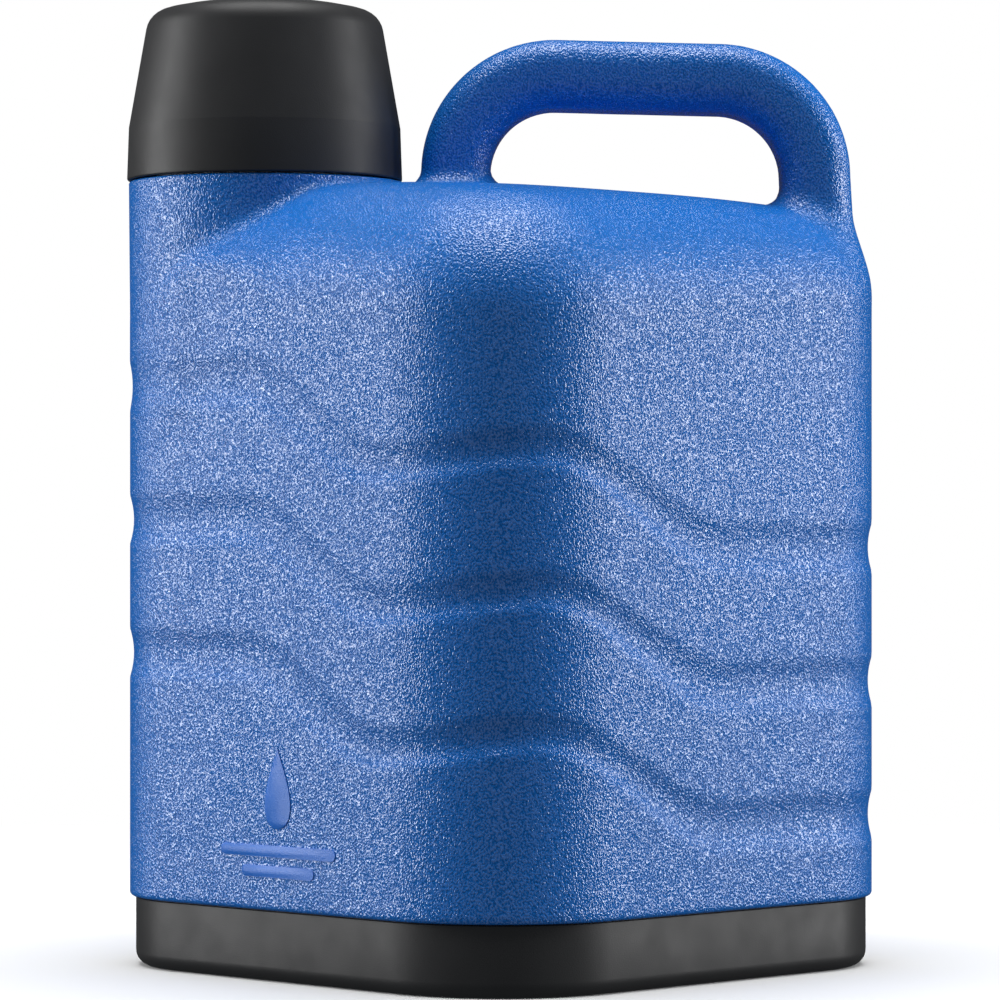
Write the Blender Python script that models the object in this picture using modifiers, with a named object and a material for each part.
"""An insulated jug of about six litres: blow-moulded casing with a carry handle, foam, inner tank,
screw stopper with a flip-cap spout, and a cup that screws over the stopper. Metres, +Z up, the jug
stands on z = 0, its front ridge faces -Y and its mouth is on the -X side."""

import math

import bmesh
import bpy
from mathutils import Matrix

# plan outline of the casing: a square with rounded corners, seen corner first
HALF_WIDTH = 0.1235
HALF_DEPTH = 0.1214
FACET_ANGLE = math.radians(45)  # between a facet and the X axis
SIDE_RADIUS = 0.045
RIDGE_RADIUS = 0.050
LEAST_RADIUS = 0.002

# walls and gaps
GAP = 0.0003
SNUG = 0.0001  # extra room where one piece plugs into another
BEYOND = 0.01  # how far a cutter reaches past what it cuts
SHELL_WALL = 0.0025
TANK_INSET = 0.012
TANK_WALL = 0.002

# heights of the body
SHELL_BOTTOM = 0.023
TANK_BOTTOM = 0.020
BODY_TOP = 0.2588
SHOULDER_RADIUS = 0.030
RIGHT_FALL = 0.078  # slope of the top towards the right
RIGHT_BEND = 0.012
LEFT_FALL = 0.76  # slope of the top under the neck
LEFT_FALL_START = -0.0695
LEFT_BEND = 0.010
CROWN = 0.8  # fall of the top towards the front and the back, for each metre squared
CROWN_SHARES = (0.35, 0.7)  # of the way from the shoulder to the middle of the top

# neck, on the axis that the stopper and the cup share
NECK_X = -0.0787
NECK_TOP = 0.260
NECK_RADIUS = 0.0442
NECK_RIM_RADIUS = 0.0452
NECK_STRAIGHT_FROM = 0.200
NECK_ROOT = 0.180
NECK_SUNK = 0.005  # how far the root stays inside the facets
TANK_NECK_RADIUS = 0.0362
TANK_BORE = 0.0332
LIP_TOP = 0.262
FOAM_TOP = 0.2491
COLLAR_BOTTOM = 0.252
SEAL_WIDTH = 0.002

# handle, whose centre line lies in the plane y = 0
HANDLE_LEFT_X = -0.015
HANDLE_RIGHT_X = 0.1045
HANDLE_LEFT_TOP = 0.2955
HANDLE_RIGHT_TOP = 0.2942
HANDLE_BEND = 0.0328
HANDLE_LEFT_FOOT = 0.243
HANDLE_RIGHT_FOOT = 0.224
HANDLE_THICKNESS = 0.023
HANDLE_DEPTH_RATIO = 1.34

HANDLE_WALL_STEP = 0.008  # how far the hollow handle's feet run into the hollow body

# base tray
TRAY_INSET = 0.0020
TRAY_SOLE_INSET = 0.0062
TRAY_FLOOR = 0.003
TRAY_WALL = 0.0022
TRAY_TOP = 0.038
TRAY_CORNER = 0.0042
FOAM_PLUG_X = 0.055
FOAM_PLUG_RADIUS = 0.0105
VENT_PLUG_RADIUS = 0.006
PLUG_STEP = 0.002  # how much wider a plug's head is than its stem
PLUG_RECESS = 0.0005

# stopper
PLUG_RADIUS = 0.030
PLUG_BORE = 0.0274
PLUG_BOTTOM = 0.236
FLANGE_BOTTOM = 0.2646
DECK_TOP = 0.278
DECK_THICKNESS = 0.003
COLLAR_RADIUS = 0.0394
COVER_BOTTOM = 0.2328
SPIGOT_TOP = 0.238
STOPPER_LEAD = 0.016
STOPPER_STARTS = 2
STOPPER_THREAD_Z = 0.243
STOPPER_THREAD_SWEEP = 270
STOPPER_BEAD = 0.0022
GASKET_RADIUS = 0.036

# spout, its flip cap and the air vent
SPOUT_X = NECK_X - 0.009
SPOUT_RADIUS = 0.0075
SPOUT_BORE = 0.005
SPOUT_TOP = 0.288
SPOUT_FLANGE = 0.0105
SPOUT_FLANGE_TOP = DECK_TOP + 0.002
HINGE_X = NECK_X + 0.0045
HINGE_Z = 0.286
PIN_RADIUS = 0.0013
PIN_HALF_LENGTH = 0.0087
LUG_INNER = 0.0056
LUG_OUTER = 0.0084
LUG_RADIUS = 0.0034
CAP_BORE = 0.0083
CAP_RADIUS = 0.0098
CAP_BOTTOM = 0.284
CAP_TOP = 0.2922
CAP_CEILING = 0.2898
VENT_X = NECK_X + 0.016
VENT_BORE = 0.0029
VENT_EXIT = 0.0024
VALVE_STEM = 0.0022
VALVE_RADIUS = 0.005
VALVE_HEIGHT = 0.0028
VALVE_REACH = 0.008
SEAL_REACH = 0.003

# cup
CUP_BOTTOM = 0.2605
CUP_RIM_RADIUS = 0.0458
CUP_MOUTH = 0.0431
CUP_CREASE = (0.0453, 0.278)  # radius and height where the band ends and the cone starts
CUP_SHOULDER = (0.0387, 0.3163)  # where the cone would meet the dome
CUP_CORNER = 0.007
CUP_TOP = 0.3215
CUP_WALL = 0.0023
CUP_GASKET_INNER = 0.0373
CUP_GASKET_OUTER = 0.042
CUP_LEAD = 0.024
CUP_STARTS = 3
CUP_THREAD_Z = 0.267
CUP_THREAD_SWEEP = 110
CUP_BEAD = 0.002
RIB_BOTTOM = 0.2806
RIB_TOP = 0.2826
RIB_BORE = 0.0392
RIB_ROOT = 0.0427

# facets of round shapes
RIDGE_STEPS = 6
SIDE_STEPS = 6
FACET_STEPS = 3
SHOULDER_STEPS = 5
TURNED_STEPS = 40
SMALL_STEPS = 20
BEAD_STEP = 15
THREAD_PHASE = 3.2  # keeps the ends of the beads off the facet edges

# where the lines of the outline meet before its corners are rounded
SIDE_VERTEX = HALF_WIDTH + SIDE_RADIUS * (1 / math.sin(FACET_ANGLE) - 1)
RIDGE_VERTEX = HALF_DEPTH + RIDGE_RADIUS * (1 / math.cos(FACET_ANGLE) - 1)
NECK_TO_FACET = (SIDE_VERTEX + NECK_X) * math.sin(FACET_ANGLE)
CROWN_REACH = 0.7 * RIDGE_VERTEX - 1.4 * SHOULDER_RADIUS

SINK = 0.001  # how far a joined shape runs into the one that it stands on
MERGE = 0.00001


# ---------------------------------------------------------------- scene, collections and materials


def clear_scene():
    for old in list(bpy.data.objects):
        bpy.data.objects.remove(old, do_unlink=True)


def new_collection(name):
    group = bpy.data.collections.new(name)
    bpy.context.scene.collection.children.link(group)
    return group


def plastic(name, colour, roughness):
    mat = bpy.data.materials.new(name)
    mat.use_nodes = True
    shader = mat.node_tree.nodes["Principled BSDF"]
    shader.inputs["Base Color"].default_value = (*colour, 1)
    shader.inputs["Roughness"].default_value = roughness
    shader.inputs["Metallic"].default_value = 0
    return mat


clear_scene()
PARTS = new_collection("water_jug")
CUTTERS = new_collection("cutters")

BLUE = plastic("blue_casing", (0.014, 0.135, 0.56), 0.42)
BLACK = plastic("black_plastic", (0.022, 0.022, 0.024), 0.45)
WHITE = plastic("white_plastic", (0.78, 0.79, 0.80), 0.35)
GREY = plastic("grey_plastic", (0.22, 0.23, 0.25), 0.45)
FOAM = plastic("rigid_foam", (0.83, 0.76, 0.52), 0.9)
RUBBER = plastic("silicone", (0.60, 0.62, 0.64), 0.6)
STEEL = plastic("steel", (0.60, 0.60, 0.62), 0.3)
STEEL.node_tree.nodes["Principled BSDF"].inputs["Metallic"].default_value = 1


def empty(name, place):
    holder = bpy.data.objects.new(name, None)
    holder.location = place
    holder.empty_display_size = 0.02
    PARTS.objects.link(holder)
    return holder


def attach(ob, holder):
    """Parents an object to an empty that is only moved, and keeps the object where it is."""
    ob.parent = holder
    ob.matrix_parent_inverse = Matrix.Translation(-holder.location)


def finish(ob, mat):
    ob.data.materials.clear()
    ob.data.materials.append(mat)
    return ob


def make_cutter(ob):
    PARTS.objects.unlink(ob)
    CUTTERS.objects.link(ob)
    ob.hide_render = True
    ob.display_type = "WIRE"
    return ob


def boolean(ob, tool, operation):
    mod = ob.modifiers.new(operation.lower() + "_" + tool.name, "BOOLEAN")
    mod.operation = operation
    mod.solver = "EXACT"
    mod.object = tool


def cut(ob, tool):
    boolean(ob, make_cutter(tool), "DIFFERENCE")


def join(ob, tool):
    boolean(ob, make_cutter(tool), "UNION")


# ---------------------------------------------------------------- basic shapes


def mesh_object(name, bm, place=(0, 0, 0)):
    mesh = bpy.data.meshes.new(name)
    bm.to_mesh(mesh)
    bm.free()
    mesh.shade_smooth()
    mesh.set_sharp_from_angle(angle=math.radians(35))
    ob = bpy.data.objects.new(name, mesh)
    ob.location = place
    PARTS.objects.link(ob)
    return ob


def turned(name, profile, x=NECK_X, steps=TURNED_STEPS, ring=False):
    """A solid turned about the vertical axis at x. The profile's (radius, z) points run down the outer
    side. A ring's profile comes back up its inner side and closes on itself."""
    mesh = bpy.data.meshes.new(name)
    points = [(r, 0, z) for r, z in profile]
    edges = [(i, i + 1) for i in range(len(points) - 1)]
    if ring:
        edges.append((len(points) - 1, 0))
    mesh.from_pydata(points, edges, [])
    ob = bpy.data.objects.new(name, mesh)
    ob.location = (x, 0, 0)
    PARTS.objects.link(ob)
    screw = ob.modifiers.new("turn", "SCREW")
    screw.axis = "Z"
    screw.steps = steps
    screw.render_steps = steps
    screw.use_merge_vertices = True
    screw.merge_threshold = MERGE
    screw.use_smooth_shade = True
    return ob


def disc(name, radius, bottom, top, x=NECK_X, steps=TURNED_STEPS):
    return turned(name, [(0, top), (radius, top), (radius, bottom), (0, bottom)], x, steps)


def annulus(name, inner, outer, bottom, top, x=NECK_X, steps=TURNED_STEPS):
    profile = [(outer, top), (outer, bottom), (inner, bottom), (inner, top)]
    return turned(name, profile, x, steps, ring=True)


def rod_along_y(name, radius, half_length, x, z, steps=SMALL_STEPS):
    bm = bmesh.new()
    bmesh.ops.create_cone(
        bm, cap_ends=True, segments=steps, radius1=radius, radius2=radius, depth=2 * half_length
    )
    bmesh.ops.rotate(bm, verts=bm.verts, matrix=Matrix.Rotation(math.pi / 2, 3, "X"))
    return mesh_object(name, bm, (x, 0, z))


def block(name, size, place):
    bm = bmesh.new()
    bmesh.ops.create_cube(bm, size=1)
    bmesh.ops.scale(bm, verts=bm.verts, vec=size)
    return mesh_object(name, bm, place)


def rounded_block(name, size, place):
    """A block whose two top edges along Y are rounded almost to a half circle."""
    bm = bmesh.new()
    bmesh.ops.create_cube(bm, size=1)
    bmesh.ops.scale(bm, verts=bm.verts, vec=size)
    top = [e for e in bm.edges if all(v.co.z > 0 for v in e.verts) and e.verts[0].co.x == e.verts[1].co.x]
    bmesh.ops.bevel(bm, geom=top, offset=0.45 * size[0], segments=4, profile=0.5, affect="EDGES")
    return mesh_object(name, bm, place)


def tube_along(name, points, radius, resolution):
    """A capped tube along a path, as a mesh that a Boolean can use."""
    curve = bpy.data.curves.new(name, "CURVE")
    curve.dimensions = "3D"
    curve.bevel_depth = radius
    curve.bevel_resolution = resolution
    curve.use_fill_caps = True
    spline = curve.splines.new("POLY")
    spline.points.add(len(points) - 1)
    for slot, point in zip(spline.points, points):
        slot.co = (*point, 1)
    source = bpy.data.objects.new(name, curve)
    PARTS.objects.link(source)
    graph = bpy.context.evaluated_depsgraph_get()
    mesh = bpy.data.meshes.new_from_object(source.evaluated_get(graph))
    place = source.matrix_world.copy()
    bpy.data.objects.remove(source, do_unlink=True)
    bm = bmesh.new()
    bm.from_mesh(mesh)
    bmesh.ops.remove_doubles(bm, verts=bm.verts, dist=MERGE)
    bmesh.ops.recalc_face_normals(bm, faces=bm.faces)
    bpy.data.meshes.remove(mesh)
    ob = mesh_object(name, bm)
    ob.matrix_world = place
    return ob


def bead(name, radius, size, lead, low, start, sweep):
    """One right-hand thread bead round the neck axis."""
    count = round(sweep / BEAD_STEP)
    points = []
    for i in range(count + 1):
        turn = i * sweep / count
        angle = math.radians(start + turn)
        x = NECK_X + radius * math.cos(angle)
        y = radius * math.sin(angle)
        points.append((x, y, low + lead * turn / 360))
    return tube_along(name, points, size, 1)


def beads(name, radius, size, lead, low, starts, sweep):
    made = []
    for k in range(starts):
        start = THREAD_PHASE + 360 * k / starts
        made.append(bead(name + "_" + str(k + 1), radius, size, lead, low, start, sweep))
    return made


# ---------------------------------------------------------------- the body


def outline(inset):
    """The plan outline moved inwards, anticlockwise from the right corner."""
    side = (SIDE_VERTEX, FACET_ANGLE, SIDE_RADIUS, SIDE_STEPS)
    ridge = (RIDGE_VERTEX, math.pi / 2 - FACET_ANGLE, RIDGE_RADIUS, RIDGE_STEPS)
    corners = []
    for k, (vertex, half_corner, radius, steps) in enumerate((side, ridge, side, ridge)):
        radius = max(radius - inset, LEAST_RADIUS)
        reach = vertex - (inset + radius) / math.sin(half_corner)
        facing = k * math.pi / 2
        span = math.pi / 2 - half_corner
        arc = []
        for i in range(steps + 1):
            angle = facing + span * (2 * i / steps - 1)
            x = reach * math.cos(facing) + radius * math.cos(angle)
            y = reach * math.sin(facing) + radius * math.sin(angle)
            arc.append((x, y))
        corners.append(arc)
    points = []
    for k, arc in enumerate(corners):
        (x0, y0), (x1, y1) = arc[-1], corners[(k + 1) % 4][0]
        points += arc
        for i in range(1, FACET_STEPS):
            share = i / FACET_STEPS
            points.append((x0 + (x1 - x0) * share, y0 + (y1 - y0) * share))
    return points


def eased(reach, bend):
    """0 well before the bend, reach well after it, and a curve between them."""
    return bend * math.log1p(math.exp(reach / bend))


def top_height(x, y):
    """Height of the top surface, which falls gently to the right, steeply under the neck, and to the
    front and the back."""
    right = RIGHT_FALL * eased(x, RIGHT_BEND)
    left = LEFT_FALL * eased(LEFT_FALL_START - x, LEFT_BEND)
    return BODY_TOP - right - left - CROWN * y * y


def level(inset, z):
    return [(x, y, z) for x, y in outline(inset)]


def shoulder_levels(inset):
    """Rings of the rounded shoulder and of the gently crowned top, inset from the outer surface."""
    radius = SHOULDER_RADIUS - inset
    rings = []
    for i in range(SHOULDER_STEPS + 1):
        angle = math.pi / 2 * i / SHOULDER_STEPS
        plan = outline(inset + radius * (1 - math.cos(angle)))
        drop = inset + radius * (1 - math.sin(angle))
        rings.append([(x, y, top_height(x, y) - drop) for x, y in plan])
    for share in CROWN_SHARES:
        plan = outline(SHOULDER_RADIUS + share * CROWN_REACH)
        rings.append([(x, y, top_height(x, y) - inset) for x, y in plan])
    return rings


def loft(name, rings, peak=None):
    """A closed solid through rings of equal counts, bottom to top; peak is the height of a centre point
    that closes the top. Triangles with the same diagonals keep nested lofts an even gap apart."""
    bm = bmesh.new()
    rows = [[bm.verts.new(point) for point in ring] for ring in rings]
    count = len(rows[0])
    for low, high in zip(rows, rows[1:]):
        for i in range(count):
            j = (i + 1) % count
            bm.faces.new((low[i], low[j], high[j]))
            bm.faces.new((low[i], high[j], high[i]))
    bm.faces.new(rows[0][::-1])
    if peak is None:
        bm.faces.new(rows[-1])
    else:
        centre = bm.verts.new((0, 0, peak))
        for i in range(count):
            bm.faces.new((rows[-1][i], rows[-1][(i + 1) % count], centre))
    return mesh_object(name, bm)


def body_solid(name, inset, bottom_rings):
    return loft(name, bottom_rings + shoulder_levels(inset), top_height(0, 0) - inset)


def neck_solid(name, radius, inset, top, rim_radius=None):
    """The neck, with a cone at its root that ends just inside the facets of the same inset."""
    rim_radius = rim_radius or radius
    root = NECK_TO_FACET - inset - NECK_SUNK
    profile = [
        (0, top),
        (rim_radius, top),
        (radius, NECK_STRAIGHT_FROM),
        (root, NECK_ROOT),
        (0, NECK_ROOT),
    ]
    return turned(name, profile)


def handle_path(left_foot, right_foot):
    """Up the left leg, round two bends, and down the right leg."""
    left = (HANDLE_LEFT_X + HANDLE_BEND, HANDLE_LEFT_TOP - HANDLE_BEND)
    right = (HANDLE_RIGHT_X - HANDLE_BEND, HANDLE_RIGHT_TOP - HANDLE_BEND)
    points = [(HANDLE_LEFT_X, 0, left_foot)]
    steps = 6
    for (x, z), first in ((left, math.pi), (right, math.pi / 2)):
        for i in range(steps + 1):
            angle = first - math.pi / 2 * i / steps
            points.append((x + HANDLE_BEND * math.cos(angle), 0, z + HANDLE_BEND * math.sin(angle)))
    points.append((HANDLE_RIGHT_X, 0, right_foot))
    return points


def handle_solid(name, inset, left_foot, right_foot):
    radius = HANDLE_THICKNESS / 2 - inset
    ob = tube_along(name, handle_path(left_foot, right_foot), radius, 3)
    depth = (HANDLE_THICKNESS / 2 * HANDLE_DEPTH_RATIO - inset) / radius
    ob.data.transform(Matrix.Diagonal((1, depth, 1, 1)))
    return ob


# ---------------------------------------------------------------- body of the jug


def outer_shell():
    edge = 0.0015
    rings = [level(edge, SHELL_BOTTOM), level(0, SHELL_BOTTOM + edge)]
    ob = body_solid("outer_shell", 0, rings)
    join(ob, neck_solid("shell_neck", NECK_RADIUS, 0, NECK_TOP, NECK_RIM_RADIUS))
    join(ob, handle_solid("shell_handle", 0, HANDLE_LEFT_FOOT, HANDLE_RIGHT_FOOT))
    inside = body_solid("shell_inside", SHELL_WALL, [level(SHELL_WALL, 0)])
    bore = NECK_RADIUS - SHELL_WALL
    join(inside, neck_solid("shell_neck_inside", bore, SHELL_WALL, NECK_TOP + BEYOND))
    feet = (HANDLE_LEFT_FOOT - HANDLE_WALL_STEP, HANDLE_RIGHT_FOOT - HANDLE_WALL_STEP)
    join(inside, handle_solid("shell_handle_inside", SHELL_WALL, *feet))
    cut(ob, inside)
    return finish(ob, BLUE)


def tank_solid(name, inset, neck, bottom):
    corner = 0.006
    rings = [level(inset + corner, bottom), level(inset, bottom + corner)]
    ob = body_solid(name, inset, rings)
    join(ob, neck)
    return ob


def inner_tank():
    neck = neck_solid("tank_neck", TANK_NECK_RADIUS, TANK_INSET, LIP_TOP)
    ob = tank_solid("inner_tank", TANK_INSET, neck, TANK_BOTTOM)
    inset = TANK_INSET + TANK_WALL
    bore = neck_solid("tank_bore", TANK_BORE, inset, LIP_TOP + BEYOND)
    low = STOPPER_THREAD_Z - STOPPER_LEAD / STOPPER_STARTS / 2
    for thread in beads(
        "tank_thread",
        TANK_BORE + 2 * SNUG,
        STOPPER_BEAD,
        STOPPER_LEAD,
        low,
        STOPPER_STARTS,
        STOPPER_THREAD_SWEEP,
    ):
        cut(bore, thread)
    cut(ob, tank_solid("tank_inside", inset, bore, TANK_BOTTOM + TANK_WALL))
    return finish(ob, WHITE)


def insulation_foam():
    inset = SHELL_WALL + GAP
    in_tray = SHELL_WALL + TRAY_WALL + 3 * GAP
    rings = [
        level(in_tray, TRAY_FLOOR + GAP),
        level(in_tray, TRAY_TOP + GAP),
        level(inset, TRAY_TOP + 2 * GAP),
    ]
    ob = body_solid("insulation_foam", inset, rings)
    join(ob, neck_solid("foam_neck", NECK_RADIUS - inset, inset, FOAM_TOP))
    neck = neck_solid("foam_bore", TANK_NECK_RADIUS + GAP, TANK_INSET - GAP, NECK_TOP)
    cut(ob, tank_solid("foam_inside", TANK_INSET - GAP, neck, TANK_BOTTOM - GAP))
    cut(ob, disc("collar_room", NECK_RADIUS - SHELL_WALL, FOAM_TOP, NECK_TOP + BEYOND))
    return finish(ob, FOAM)


def neck_collar():
    inner = TANK_NECK_RADIUS + GAP
    outer = NECK_RADIUS - SHELL_WALL - GAP
    top = NECK_TOP - GAP
    chamfer = 0.0008
    profile = [
        (outer - chamfer, top),
        (outer, top - chamfer),
        (outer, COLLAR_BOTTOM),
        (inner, COLLAR_BOTTOM),
        (inner, top),
    ]
    return finish(turned("neck_collar", profile, ring=True), GREY)


def neck_collar_seal():
    inner = TANK_NECK_RADIUS + GAP
    outer = inner + SEAL_WIDTH
    ob = annulus("neck_collar_seal", inner, outer, FOAM_TOP + GAP, COLLAR_BOTTOM - GAP)
    return finish(ob, RUBBER)


def base_tray():
    plug_inset = SHELL_WALL + GAP + SNUG
    rings = [
        level(TRAY_SOLE_INSET, 0),
        level(TRAY_INSET + TRAY_CORNER * 0.3, TRAY_CORNER * 0.3),
        level(TRAY_INSET, TRAY_CORNER),
        level(TRAY_INSET, SHELL_BOTTOM - GAP),
        level(plug_inset, SHELL_BOTTOM - GAP),
        level(plug_inset, TRAY_TOP),
    ]
    ob = loft("base_tray", rings)
    inside = plug_inset + TRAY_WALL
    cut(ob, loft("tray_inside", [level(inside, TRAY_FLOOR), level(inside, TRAY_TOP + BEYOND)]))
    for name, x, radius in (
        ("fill_hole", FOAM_PLUG_X, FOAM_PLUG_RADIUS),
        ("vent_hole", -FOAM_PLUG_X, VENT_PLUG_RADIUS),
    ):
        cut(ob, stepped_plug(name, x, radius, -BEYOND, TRAY_FLOOR + BEYOND))
    return finish(ob, BLACK)


def stepped_plug(name, x, radius, bottom, top):
    """A plug whose head sits in a counterbore of the tray's sole."""
    stem = radius - PLUG_STEP
    step = TRAY_FLOOR / 2
    profile = [(0, top), (stem, top), (stem, step), (radius, step), (radius, bottom), (0, bottom)]
    return turned(name, profile, x, SMALL_STEPS)


def foam_plug(name, x, radius):
    ob = stepped_plug(name, x, radius - GAP, PLUG_RECESS, TRAY_FLOOR - SNUG)
    for vert in ob.data.vertices:
        if abs(vert.co.z - TRAY_FLOOR / 2) < MERGE:
            vert.co.z -= GAP
    return finish(ob, GREY)


# ---------------------------------------------------------------- stopper


def stopper_gasket():
    low, high = LIP_TOP + GAP, FLANGE_BOTTOM - GAP
    return finish(annulus("stopper_gasket", TANK_BORE + GAP, GASKET_RADIUS, low, high), RUBBER)


def stopper_body():
    edge = 0.001
    profile = [
        (0, DECK_TOP),
        (COLLAR_RADIUS - edge, DECK_TOP),
        (COLLAR_RADIUS, DECK_TOP - edge),
        (COLLAR_RADIUS, FLANGE_BOTTOM),
        (PLUG_RADIUS, FLANGE_BOTTOM),
        (PLUG_RADIUS, PLUG_BOTTOM),
        (PLUG_BORE, PLUG_BOTTOM),
        (PLUG_BORE, DECK_TOP - DECK_THICKNESS),
        (0, DECK_TOP - DECK_THICKNESS),
    ]
    ob = turned("stopper_body", profile)
    threads = beads(
        "plug_thread",
        PLUG_RADIUS,
        STOPPER_BEAD,
        STOPPER_LEAD,
        STOPPER_THREAD_Z,
        STOPPER_STARTS,
        STOPPER_THREAD_SWEEP,
    )
    threads += beads(
        "collar_thread",
        COLLAR_RADIUS,
        CUP_BEAD,
        CUP_LEAD,
        CUP_THREAD_Z,
        CUP_STARTS,
        CUP_THREAD_SWEEP,
    )
    for thread in threads:
        join(ob, thread)
    lug_width = LUG_OUTER - LUG_INNER
    middle = (LUG_INNER + LUG_OUTER) / 2
    height = HINGE_Z + LUG_RADIUS - DECK_TOP + SINK
    for side, name in ((-1, "front"), (1, "rear")):
        place = (HINGE_X, side * middle, HINGE_Z + LUG_RADIUS - height / 2)
        join(ob, rounded_block("lug_" + name, (2 * LUG_RADIUS, lug_width, height), place))
    cut(ob, rod_along_y("lug_bore", PIN_RADIUS + GAP, LUG_OUTER + BEYOND / 2, HINGE_X, HINGE_Z))
    low, high = DECK_TOP - BEYOND, DECK_TOP + BEYOND
    cut(ob, disc("spout_hole", SPOUT_RADIUS + GAP, low, DECK_TOP + SINK, SPOUT_X, SMALL_STEPS))
    cut(ob, disc("valve_hole", VALVE_STEM + GAP, low, high, VENT_X, SMALL_STEPS))
    return finish(ob, WHITE)


def stopper_bottom_cover():
    spigot = PLUG_BORE - GAP
    disc_top = PLUG_BOTTOM - GAP
    edge = 0.0008
    profile = [
        (0, SPIGOT_TOP),
        (spigot, SPIGOT_TOP),
        (spigot, disc_top),
        (PLUG_RADIUS, disc_top),
        (PLUG_RADIUS, COVER_BOTTOM + edge),
        (PLUG_RADIUS - edge, COVER_BOTTOM),
        (0, COVER_BOTTOM),
    ]
    ob = turned("stopper_bottom_cover", profile)
    low, high = COVER_BOTTOM - BEYOND, SPIGOT_TOP + BEYOND
    cut(ob, disc("cover_spout_hole", SPOUT_RADIUS + GAP, low, high, SPOUT_X, SMALL_STEPS))
    cut(ob, disc("cover_vent_hole", VENT_EXIT, low, high, VENT_X, SMALL_STEPS))
    return finish(ob, WHITE)


def stopper_foam():
    low, high = SPIGOT_TOP + GAP, DECK_TOP - DECK_THICKNESS - GAP
    ob = disc("stopper_foam", PLUG_BORE - GAP, low, high)
    low, high = low - BEYOND, high + BEYOND
    cut(ob, disc("foam_spout_hole", SPOUT_RADIUS + GAP, low, high, SPOUT_X, SMALL_STEPS))
    cut(ob, disc("foam_vent_hole", VENT_BORE, low, high, VENT_X, SMALL_STEPS))
    return finish(ob, FOAM)


def pour_spout():
    edge = 0.0008
    profile = [
        (SPOUT_RADIUS - edge, SPOUT_TOP),
        (SPOUT_RADIUS, SPOUT_TOP - edge),
        (SPOUT_RADIUS, SPOUT_FLANGE_TOP),
        (SPOUT_FLANGE, SPOUT_FLANGE_TOP),
        (SPOUT_FLANGE, DECK_TOP + GAP),
        (SPOUT_RADIUS, DECK_TOP + GAP),
        (SPOUT_RADIUS, COVER_BOTTOM),
        (SPOUT_BORE, COVER_BOTTOM),
        (SPOUT_BORE, SPOUT_TOP),
    ]
    return finish(turned("pour_spout", profile, SPOUT_X, SMALL_STEPS, ring=True), WHITE)


def spout_hinge_pin():
    return finish(
        rod_along_y("spout_hinge_pin", PIN_RADIUS, PIN_HALF_LENGTH, HINGE_X, HINGE_Z), STEEL
    )


def air_vent_valve():
    """A mushroom valve: its soft head is a low dome on a stem."""
    profile = [(0, DECK_TOP + VALVE_HEIGHT)]
    for angle in (math.radians(37), math.radians(69)):
        radius = VALVE_RADIUS * math.sin(angle)
        profile.append((radius, DECK_TOP + VALVE_HEIGHT * math.cos(angle)))
    profile += [
        (VALVE_RADIUS, DECK_TOP + GAP),
        (VALVE_STEM, DECK_TOP + GAP),
        (VALVE_STEM, DECK_TOP - VALVE_REACH),
        (0, DECK_TOP - VALVE_REACH),
    ]
    return finish(turned("air_vent_valve", profile, VENT_X, SMALL_STEPS), RUBBER)


def spout_cap():
    edge = 0.001
    profile = [
        (0, CAP_TOP),
        (CAP_RADIUS - edge, CAP_TOP),
        (CAP_RADIUS, CAP_TOP - edge),
        (CAP_RADIUS, CAP_BOTTOM),
        (CAP_BORE, CAP_BOTTOM),
        (CAP_BORE, CAP_CEILING),
        (0, CAP_CEILING),
    ]
    ob = turned("spout_cap", profile, SPOUT_X, SMALL_STEPS)
    half = LUG_INNER - GAP
    skirt = SPOUT_X + (CAP_BORE + CAP_RADIUS) / 2
    length = HINGE_X - skirt
    arm_size = (length, 2 * half - SINK, CAP_TOP - HINGE_Z - edge)
    arm_place = (skirt + length / 2, 0, (CAP_TOP - edge + HINGE_Z) / 2)
    join(ob, block("cap_arm", arm_size, arm_place))
    join(ob, rod_along_y("cap_knuckle", LUG_RADIUS, half, HINGE_X, HINGE_Z))
    cut(ob, rod_along_y("cap_pin_bore", PIN_RADIUS + GAP, half + BEYOND, HINGE_X, HINGE_Z))
    return finish(ob, GREY)


def spout_cap_seal():
    stem = SPOUT_BORE - 2 * GAP
    profile = [
        (0, CAP_CEILING - GAP),
        (SPOUT_RADIUS, CAP_CEILING - GAP),
        (SPOUT_RADIUS, SPOUT_TOP + GAP),
        (stem, SPOUT_TOP + GAP),
        (stem - GAP, SPOUT_TOP - SEAL_REACH),
        (0, SPOUT_TOP - SEAL_REACH),
    ]
    return finish(turned("spout_cap_seal", profile, SPOUT_X, SMALL_STEPS), RUBBER)


# ---------------------------------------------------------------- cup


def cup_gasket():
    low, high = DECK_TOP + GAP, RIB_BOTTOM - GAP
    return finish(annulus("cup_gasket", CUP_GASKET_INNER, CUP_GASKET_OUTER, low, high), RUBBER)


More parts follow.
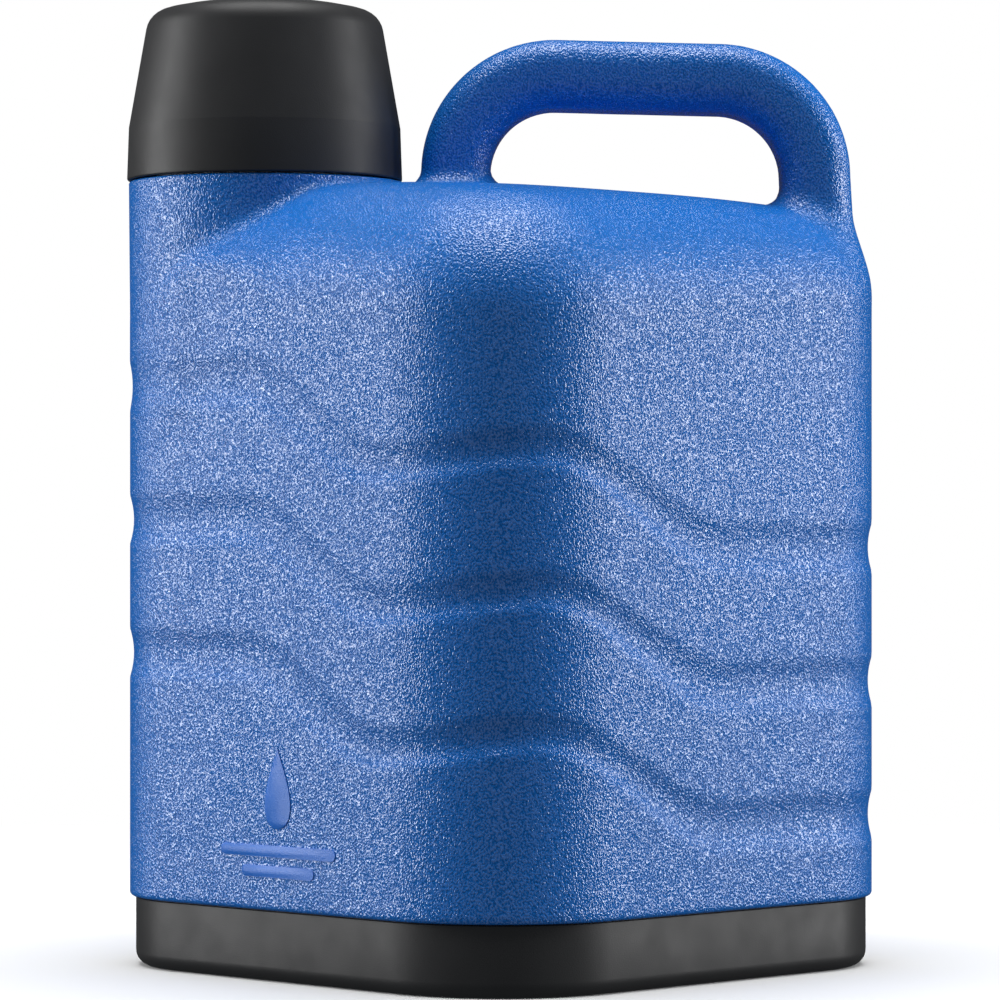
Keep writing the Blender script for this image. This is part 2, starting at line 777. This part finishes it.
def cup_dome(inset, steps):
    """The dome and the rounded corner of the cup from the axis outwards, moved inwards by inset. The
    corner's arc meets the dome on its inner side and the cone on its outer side."""
    slope = math.atan2(CUP_CREASE[0] - CUP_SHOULDER[0], CUP_SHOULDER[1] - CUP_CREASE[1])
    sag = CUP_TOP - CUP_SHOULDER[1]
    dome_radius = (CUP_SHOULDER[0] ** 2 + sag**2) / (2 * sag)
    tilt = math.asin(CUP_SHOULDER[0] / dome_radius)
    half_turn = (math.pi / 2 - slope - tilt) / 2
    reach = CUP_CORNER / math.cos(half_turn)
    direction = tilt + half_turn
    centre = (
        CUP_SHOULDER[0] - reach * math.sin(direction),
        CUP_SHOULDER[1] - reach * math.cos(direction),
    )
    points = [(0, CUP_TOP - inset)]
    for i in range(steps + 1):
        angle = tilt + 2 * half_turn * i / steps
        radius = CUP_CORNER - inset
        points.append((centre[0] + radius * math.sin(angle), centre[1] + radius * math.cos(angle)))
    return points


def cup_shell():
    outer = cup_dome(0, 5) + [CUP_CREASE, (CUP_RIM_RADIUS, CUP_BOTTOM)]
    inner = [
        (CUP_MOUTH, CUP_BOTTOM),
        (CUP_MOUTH, CUP_CREASE[1]),
        (RIB_ROOT, RIB_BOTTOM),
        (RIB_BORE, RIB_BOTTOM),
        (RIB_BORE, RIB_TOP),
        (RIB_ROOT - 3 * GAP, RIB_TOP),
    ]
    ob = turned("cup_shell", outer + inner + cup_dome(CUP_WALL, 3)[::-1])
    low = CUP_THREAD_Z - CUP_LEAD / CUP_STARTS / 2
    thread_radius = CUP_MOUTH - CUP_BEAD / 4
    sweep = CUP_THREAD_SWEEP
    for thread in beads("cup_thread", thread_radius, CUP_BEAD, CUP_LEAD, low, CUP_STARTS, sweep):
        join(ob, thread)
    return finish(ob, BLACK)


# ---------------------------------------------------------------- assembly


def build():
    outer_shell()
    insulation_foam()
    inner_tank()
    neck_collar()
    neck_collar_seal()
    base_tray()
    foam_plug("foam_fill_plug", FOAM_PLUG_X, FOAM_PLUG_RADIUS)
    foam_plug("foam_vent_plug", -FOAM_PLUG_X, VENT_PLUG_RADIUS)

    stopper_axis = empty("stopper_axis", (NECK_X, 0, FLANGE_BOTTOM))
    for make in (
        stopper_gasket,
        stopper_body,
        stopper_bottom_cover,
        stopper_foam,
        pour_spout,
        spout_hinge_pin,
        air_vent_valve,
    ):
        attach(make(), stopper_axis)

    flip_axis = empty("flip_axis", (HINGE_X, 0, HINGE_Z))
    attach(flip_axis, stopper_axis)
    for make in (spout_cap, spout_cap_seal):
        ob = make()
        ob.parent = flip_axis
        ob.matrix_parent_inverse = Matrix.Translation(-flip_axis.location)

    cup_axis = empty("cup_axis", (NECK_X, 0, CUP_BOTTOM))
    for make in (cup_gasket, cup_shell):
        attach(make(), cup_axis)


build()
